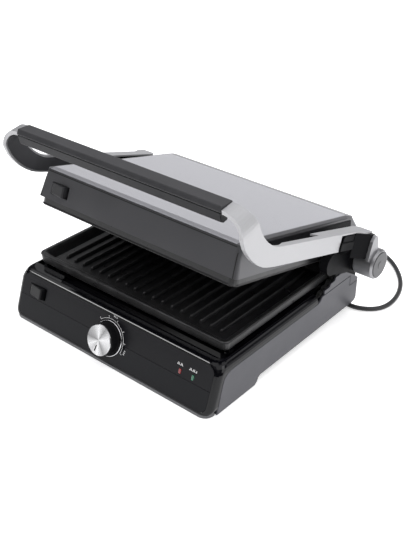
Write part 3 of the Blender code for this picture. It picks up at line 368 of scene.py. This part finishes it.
def mesh_of(name, shape, matrix=None):
    """A mesh in metres from a bmesh in millimetres."""
    if matrix is not None:
        bmesh.ops.transform(shape, matrix=matrix, verts=shape.verts)
    bmesh.ops.scale(shape, vec=(MM, MM, MM), verts=shape.verts)
    bmesh.ops.recalc_face_normals(shape, faces=shape.faces)
    mesh = bpy.data.meshes.new(name)
    shape.to_mesh(mesh)
    shape.free()
    return mesh


def slab(shape, outline, low, high, axis=1):
    """Adds a flat outline, drawn in the other two axes, with its thickness along axis."""
    others = [n for n in range(3) if n != axis]
    rings = []
    for depth in (low, high):
        ring = []
        for a, b in outline:
            point = [0.0, 0.0, 0.0]
            point[others[0]], point[others[1]], point[axis] = a, b, depth
            ring.append(shape.verts.new(point))
        rings.append(ring)
    shape.faces.new(rings[0])
    shape.faces.new(list(reversed(rings[1])))
    count = len(outline)
    for k in range(count):
        after = (k + 1) % count
        shape.faces.new((rings[0][k], rings[1][k], rings[1][after], rings[0][after]))


def bar(shape, centre, length, width, angle=0.0, depth=(-PRINT_T, 0.0)):
    """Adds a small printed bar on the front, turned by angle from level."""
    along = Vector((cos(angle), sin(angle))) * length / 2
    across = Vector((-sin(angle), cos(angle))) * width / 2
    middle = Vector(centre)
    low, high = middle - across, middle + across
    corners = (low - along, low + along, high + along, high - along)
    slab(shape, [tuple(corner) for corner in corners], *depth)


def arc(shape, radius, width, start, end, steps=36, depth=(-PRINT_T, 0.0)):
    """Adds part of a ring on the front. Angles count from 3 o'clock, anticlockwise, in degrees."""
    outline = []
    for side, order in ((width / 2, range(steps + 1)), (-width / 2, range(steps, -1, -1))):
        for k in order:
            angle = radians(start + (end - start) * k / steps)
            outline.append(((radius + side) * cos(angle), (radius + side) * sin(angle)))
    slab(shape, outline, *depth)


# ---- printed marks and small fittings ------------------------------------------------------------
def dial_marks(materials):
    """The white scale round the knob, with ticks, a few plain dashes for its figures, and no lettering."""
    scale_r, tick_r, dash_r = 24.6, 26.2, 29.5
    shape = bmesh.new()
    arc(shape, scale_r, 0.5, DIAL_START, DIAL_END)
    for angle in (DIAL_START, 7, 38, 70, 101, DIAL_END):
        turn = radians(angle)
        bar(shape, (tick_r * cos(turn), tick_r * sin(turn)), 3.0, 0.6, turn)
    for middle in (80, -14):
        for step in (-1, 0, 1):
            turn = radians(middle + step * 4.4)
            bar(shape, (dash_r * cos(turn), dash_r * sin(turn)), 2.0, 0.9, turn)
    mesh = mesh_of("dial_marks", shape, front_frame(0, KNOB_Z))
    new_object("dial_marks", mesh, materials["print_white"], "base")


def lamp_marks(materials):
    """Two short rows of plain dashes over the lamps."""
    pitch, left = 2.3, 1.5  # between the dashes, and how far left of its lamp a row is centred
    shape = bmesh.new()
    for lamp_x, count in ((RED_X, 4), (GREEN_X, 5)):
        for k in range(count):
            x = lamp_x - left + (k - (count - 1) / 2) * pitch
            bar(shape, (x, LAMP_MARK_Z), 1.7, 0.7)
            bar(shape, (x + 0.4 * (-1) ** k, LAMP_MARK_Z + 1.3), 0.7, 2.2)
    mesh = mesh_of("lamp_marks", shape, front_frame(0, 0))
    new_object("lamp_marks", mesh, materials["print_white"], "base")


def lid_seams(materials):
    """The dark joint round the lid's front: under its top edge and down both corners."""
    shape = bmesh.new()
    top_z, top_half, top_y = LID_FRONT[-1]
    under, over = top_z - 2.3, top_z - 0.9
    seam = [(top_y - 0.45, under), (top_y - 0.28, over), (top_y + 0.8, over), (top_y + 0.8, under)]
    slab(shape, seam, -top_half + 3.4, top_half - 3.4, 0)
    for side in (-1, 1):
        corner_seam(shape, side)
    mesh = mesh_of("lid_seams", shape, lid_frame())
    new_object("lid_seams", mesh, materials["rubber"], "lid")


def corner_seam(shape, side):
    """Adds the joint down one corner, which winds from the front towards the side as it rises."""
    proud, half_width, deep = 0.12, 0.6, 1.0
    rings = []
    for (z, half, front), turn, up in zip(LID_FRONT, (0.0, 0.45, 0.85), (0.4, 0.4, -1.0)):
        out = Vector((side * sin(turn), -cos(turn)))
        across = Vector((-out.y, out.x)) * half_width
        middle = Vector((side * (half - LID_CORNER_R), front + LID_CORNER_R)) + out * (LID_CORNER_R + proud)
        inner = middle - out * deep
        corners = (middle - across, middle + across, inner + across, inner - across)
        rings.append([shape.verts.new((corner.x, corner.y, z + up)) for corner in corners])
    for low, high in zip(rings, rings[1:]):
        for k in range(4):
            after = (k + 1) % 4
            shape.faces.new((low[k], low[after], high[after], high[k]))
    shape.faces.new(rings[0])
    shape.faces.new(rings[-1])


def knob_details(materials):
    """The bright ring at the foot of the knob and the pointer line on its cap."""
    ring = bmesh.new()
    outline = [(1.0, 21.2), (1.0, 21.8), (0.5, 22.2), (0.05, 22.2), (0.05, 21.2)]  # out of the front, radius
    points = [ring.verts.new((0, -out, radius)) for out, radius in outline]
    edges = [ring.edges.new((points[k], points[(k + 1) % len(points)])) for k in range(len(points))]
    bmesh.ops.spin(ring, geom=points + edges, axis=(0, 1, 0), angle=2 * pi, steps=72, use_merge=True)
    mesh = mesh_of("knob_ring", ring, front_frame(0, KNOB_Z))
    mesh.shade_smooth()
    new_object("knob_ring", mesh, materials["chrome"], "base")
    turn, middle_r = radians(-102), 11.0
    pointer = bmesh.new()
    at = (middle_r * cos(turn), middle_r * sin(turn))
    bar(pointer, at, 8.0, 1.2, turn, (-KNOB_FACE, -KNOB_FACE + 0.3))
    mesh = mesh_of("knob_pointer", pointer, front_frame(0, KNOB_Z))
    new_object("knob_pointer", mesh, materials["black_plastic"], "knob")


def screw_heads(materials):
    """Cross-head screws in the bottom plate and in the rear of the housing."""
    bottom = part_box("bottom_plate")[0][2] / MM
    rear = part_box("base_housing")[1][1] / MM
    places = []
    for x in (-118, 118):
        for y in (-100, 120):
            places.append(Matrix.Translation((x, y, bottom)) @ Matrix.Rotation(pi, 4, "X"))
    for x in (-120, 0, 120):
        places.append(Matrix.Translation((x, rear, 26)) @ Matrix.Rotation(-pi / 2, 4, "X"))
    head_high = 1.2
    for n, place in enumerate(places):
        head = bmesh.new()
        bmesh.ops.create_cone(head, cap_ends=True, segments=28, radius1=3.6, radius2=2.6, depth=head_high)
        bmesh.ops.translate(head, vec=(0, 0, head_high / 2), verts=head.verts)
        new_object(f"screw_{n}", mesh_of(f"screw_{n}", head, place), materials["steel"], "base")
        cross = bmesh.new()
        for turn in (0.0, pi / 2):
            along = Vector((cos(turn), sin(turn))) * 1.9
            across = Vector((-sin(turn), cos(turn))) * 0.4
            corners = (-along - across, along - across, along + across, -along + across)
            slab(cross, [tuple(corner) for corner in corners], head_high - 0.1, head_high + 0.06, 2)
        mesh = mesh_of(f"screw_cross_{n}", cross, place)
        new_object(f"screw_cross_{n}", mesh, materials["rubber"], "base")


def rating_plate(materials):
    """A blank foil plate under the base."""
    plate = bmesh.new()
    half, front, back = 34, 62, 98
    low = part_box("bottom_plate")[0][2] / MM
    slab(plate, [(-half, front), (half, front), (half, back), (-half, back)], low - 0.25, low, 2)
    new_object("rating_plate", mesh_of("rating_plate", plate), materials["lid_silver"], "base")


def plug_pins(materials):
    """The bright metal of the plug's two pins."""
    plug = Matrix.Translation(PLUG_AT) @ Matrix.Rotation(PLUG_TURN, 4, "Z")
    lying = Matrix.Rotation(pi / 2, 4, "Y")
    for n, side in enumerate((-PIN_APART / 2, PIN_APART / 2)):
        pin = bmesh.new()
        bmesh.ops.create_cone(pin, cap_ends=True, segments=20, radius1=PIN_R, radius2=PIN_R, depth=PIN_LONG)
        mesh = mesh_of(f"plug_pin_{n}", pin, plug @ Matrix.Translation((PIN_OUT, side, 0)) @ lying)
        mesh.shade_smooth()
        mesh.set_sharp_from_angle(angle=radians(40))
        new_object(f"plug_pin_{n}", mesh, materials["chrome"], "base")


def tie_outline(radius):
    """A loop round the coil's two turns, one over the other: x from their middle and z from the table."""
    outline = []
    steps = 12
    for middle, start in ((COIL_LOW + COIL_RISE, 0.0), (COIL_LOW, pi)):
        for k in range(steps + 1):
            angle = start + pi * k / steps
            outline.append((radius * cos(angle), middle + radius * sin(angle)))
    return outline


def coil_tie(materials):
    """A thin strap round the two turns of the coil."""
    strap = bmesh.new()
    loops = []
    for y in (-TIE_HALF, TIE_HALF):
        for radius in (TIE_IN, TIE_OUT):
            loops.append([strap.verts.new((x - COIL_R, y, z)) for x, z in tie_outline(radius)])
    near_in, near_out, far_in, far_out = loops
    count = len(near_in)
    for a, b in ((near_out, far_out), (far_in, near_in), (near_in, near_out), (far_out, far_in)):
        for k in range(count):
            after = (k + 1) % count
            strap.faces.new((a[k], a[after], b[after], b[k]))
    mesh = mesh_of("coil_tie", strap, Matrix.Translation((COIL.x, COIL.y, 0)))
    mesh.shade_smooth()
    mesh.set_sharp_from_angle(angle=radians(40))
    return new_object("coil_tie", mesh, materials["rubber"], "base")


# ---- lead ----------------------------------------------------------------------------------------
def lead_route():
    """The lead's own points from the gland to the coil, in millimetres. The lists count y from the front."""
    air = [
        (40, 325.5, 22.0),
        (40.2, 336, 21.4),
        (41.8, 347.5, 18.6),
        (45.5, 359, 13.6),
        (51.5, 370, 8.2),
        (60.5, 379.5, 4.6),
    ]
    table = [
        (72.5, 385.5),
        (86, 386.5),
        (99.5, 381),
        (109.5, 370.5),
        (116, 357),
        (120.5, 342),
        (124, 328),
        (130, 314.5),
        (139, 303.5),
        (151, 297),
        (163, 295.8),
        (174, 298.5),
        (186, 306),
        (194.5, 317.5),
        (198, 333),
        (196.5, 352),
        (191, 371.5),
        (181.5, 390.5),
        (167.5, 409),
        (151, 425),
        (133, 437),
        (112, 445),
        (90, 448.5),
        (68, 448),
        (46, 445.5),
        (24, 444.6),
    ]
    front = FRONT_EDGE_Y / MM
    return [Vector((x, y + front, z)) for x, y, z in air + [(x, y, LEAD_REST) for x, y in table]]


def ease(share):
    """From 0 to 1 as share goes from 0 to 1, level at both ends and beyond them."""
    share = min(1.0, max(0.0, share))
    return share * share * (3 - 2 * share)


def coil_route():
    """From the lead's last straight stretch into the coil, round it, and off to the plug, in millimetres."""
    entry = COIL_R + COIL_RISE + COIL_GAP
    points = [Vector((COIL.x + 22, COIL.y + entry, LEAD_REST))]
    steps = 14
    for k in range(COIL_TURNS * steps + 1):
        turn = k / steps
        radius = entry + (COIL_R - entry) * ease(turn / 0.45)
        z = COIL_LOW + COIL_RISE * ease((turn - 0.55) / 0.75)
        angle = pi / 2 + 2 * pi * turn
        points.append(Vector((COIL.x + radius * cos(angle), COIL.y + radius * sin(angle), z)))
    to_plug = [(-50.5, 289.2, 10.8), (-72.0, 289.3, 14.6), (-90.5, 289.4, 17.4)]
    return points + [Vector(point) for point in to_plug]


def smooth(points, steps):
    """A Catmull-Rom curve through points."""
    ends = [points[0] * 2 - points[1]] + points + [points[-1] * 2 - points[-2]]
    fine = []
    for a, b, c, d in zip(ends, ends[1:], ends[2:], ends[3:]):
        square, cube = 2 * a - 5 * b + 4 * c - d, 3 * b - a - 3 * c + d
        for k in range(steps):
            t = k / steps
            fine.append(0.5 * (2 * b + (c - a) * t + square * t**2 + cube * t**3))
    return fine + [points[-1]]


def mains_lead(materials, fittings):
    """The lead from the gland by way of the coil to the plug. The fittings passed in are not used."""
    route = [point * MM for point in smooth(lead_route() + coil_route(), 6)]
    curve = bpy.data.curves.new("mains_lead", "CURVE")
    curve.dimensions = "3D"
    curve.bevel_depth = CORD_D / 2
    curve.bevel_resolution = 4
    curve.use_fill_caps = True
    spline = curve.splines.new("POLY")
    spline.points.add(len(route) - 1)
    for point, at in zip(spline.points, route):
        point.co = (*at, 1)
    spline.use_smooth = True
    lead = new_object("mains_lead", curve, materials["lead_grey"], "base")
    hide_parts("mains_cord", "cord_coil", "cord_tail")


# ---- stage ---------------------------------------------------------------------------------------
CAMERA_AT = Vector((635.1, -713.35, 641.6)) * MM
CAMERA_AZIMUTH, CAMERA_PITCH = radians(40.28), radians(31.234)  # to the left of +Y, and down
LENS, SENSOR = 58.56, 36  # millimetres


def camera():
    data = bpy.data.cameras.new("camera")
    data.lens = LENS
    data.sensor_width = SENSOR
    data.clip_start = 0.01
    thing = bpy.data.objects.new("camera", data)
    thing.location = CAMERA_AT
    thing.rotation_euler = (pi / 2 - CAMERA_PITCH, 0, CAMERA_AZIMUTH)
    bpy.context.scene.collection.objects.link(thing)
    bpy.context.scene.camera = thing


def area_light(name, at, target, size, watts):
    data = bpy.data.lights.new(name, "AREA")
    data.shape = "RECTANGLE"
    data.size, data.size_y = size
    data.energy = watts
    thing = bpy.data.objects.new(name, data)
    thing.location = at
    thing.rotation_euler = (Vector(target) - Vector(at)).to_track_quat("-Z", "Y").to_euler()
    bpy.context.scene.collection.objects.link(thing)
    return thing


# The surround's bands: where each starts and ends along its axis, and its brightness at both.
OVERHEAD = (0.50, 0.64, 0.05, 1.20)  # z: a wide soft box above a dark horizon
BEHIND = (0.35, 0.70, 0.0, 1.0)  # y: the low light is behind the press only
LOW = (0.20, 0.42, 0.90, 0.0)  # z: the low light fades out below the soft box


def band(tree, value, start, end, first, last):
    node = tree.nodes.new("ShaderNodeMapRange")
    node.interpolation_type = "SMOOTHSTEP"
    node.inputs["From Min"].default_value = start
    node.inputs["From Max"].default_value = end
    node.inputs["To Min"].default_value = first
    node.inputs["To Max"].default_value = last
    tree.links.new(value, node.inputs["Value"])
    return node.outputs["Result"]


def combine(tree, operation, first, second):
    node = tree.nodes.new("ShaderNodeMath")
    node.operation = operation
    tree.links.new(first, node.inputs[0])
    tree.links.new(second, node.inputs[1])
    return node.outputs["Value"]


def surround():
    """The soft box, the dark horizon and the low light at the back, and behind them a plain pale backdrop."""
    world = bpy.data.worlds.new("studio")
    bpy.context.scene.world = world
    world.use_nodes = True
    tree = world.node_tree
    direction = tree.nodes.new("ShaderNodeTexCoord")
    towards = tree.nodes.new("ShaderNodeSeparateXYZ")
    tree.links.new(direction.outputs["Generated"], towards.inputs["Vector"])
    overhead = band(tree, towards.outputs["Z"], *OVERHEAD)
    behind = band(tree, towards.outputs["Y"], *BEHIND)
    low = band(tree, towards.outputs["Z"], *LOW)
    light = combine(tree, "MAXIMUM", overhead, combine(tree, "MULTIPLY", behind, low))
    backdrop = tree.nodes.new("ShaderNodeLightPath").outputs["Is Camera Ray"]
    background = tree.nodes["Background"]
    background.inputs["Color"].default_value = (0.98, 0.98, 1.0, 1)
    tree.links.new(combine(tree, "MAXIMUM", light, backdrop), background.inputs["Strength"])


def lights():
    """A soft light from above, a fill from the right, and a strip for the base's polished front edge."""
    top = area_light("top", (0.1, 0.3, 1.7), (0, 0, 0.1), (1.4, 1.0), 12)
    top.visible_glossy = False
    area_light("right", (1.6, 0.1, 0.8), (0, 0, 0.1), (0.9, 0.9), 5)
    edge = area_light("edge", (-0.85, -0.78, 1.18), (0, -0.12, 0.06), (1.3, 0.5), 28)
    edge.visible_diffuse = False
    lit = bpy.data.collections.new("lit_by_edge")
    for name in ("base_housing", "control_panel", "lower_fascia", "lower_grill_plate"):
        lit.objects.link(NODES[name])
    edge.light_linking.receiver_collection = lit


def plain_colours():
    """Colours as they are lit, without a film look."""
    view = bpy.context.scene.view_settings
    view.view_transform = "Standard"
    view.look = "None"


def floor():
    """A plain pale table, far wider than the press, with a little light of its own."""
    mesh = bpy.data.meshes.new("floor")
    shape = bmesh.new()
    bmesh.ops.create_grid(shape, x_segments=1, y_segments=1, size=6)
    shape.to_mesh(mesh)
    shape.free()
    thing = bpy.data.objects.new("floor", mesh)
    bpy.context.scene.collection.objects.link(thing)
    shader = Shader("floor", (0.92, 0.92, 0.92), 0.6, 0.0, Specular_IOR_Level=0.2)
    shader.set("Emission Color", (1, 1, 1, 1))
    shader.set("Emission Strength", 0.55)
    thing.data.materials.append(shader.material)


# ---- everything ----------------------------------------------------------------------------------
MATERIALS = make_materials()
paint_nodes(MATERIALS)
camera()
surround()
lights()
plain_colours()
floor()
dial_marks(MATERIALS)
lamp_marks(MATERIALS)
lid_seams(MATERIALS)
knob_details(MATERIALS)
screw_heads(MATERIALS)
rating_plate(MATERIALS)
plug_pins(MATERIALS)
mains_lead(MATERIALS, [coil_tie(MATERIALS)])
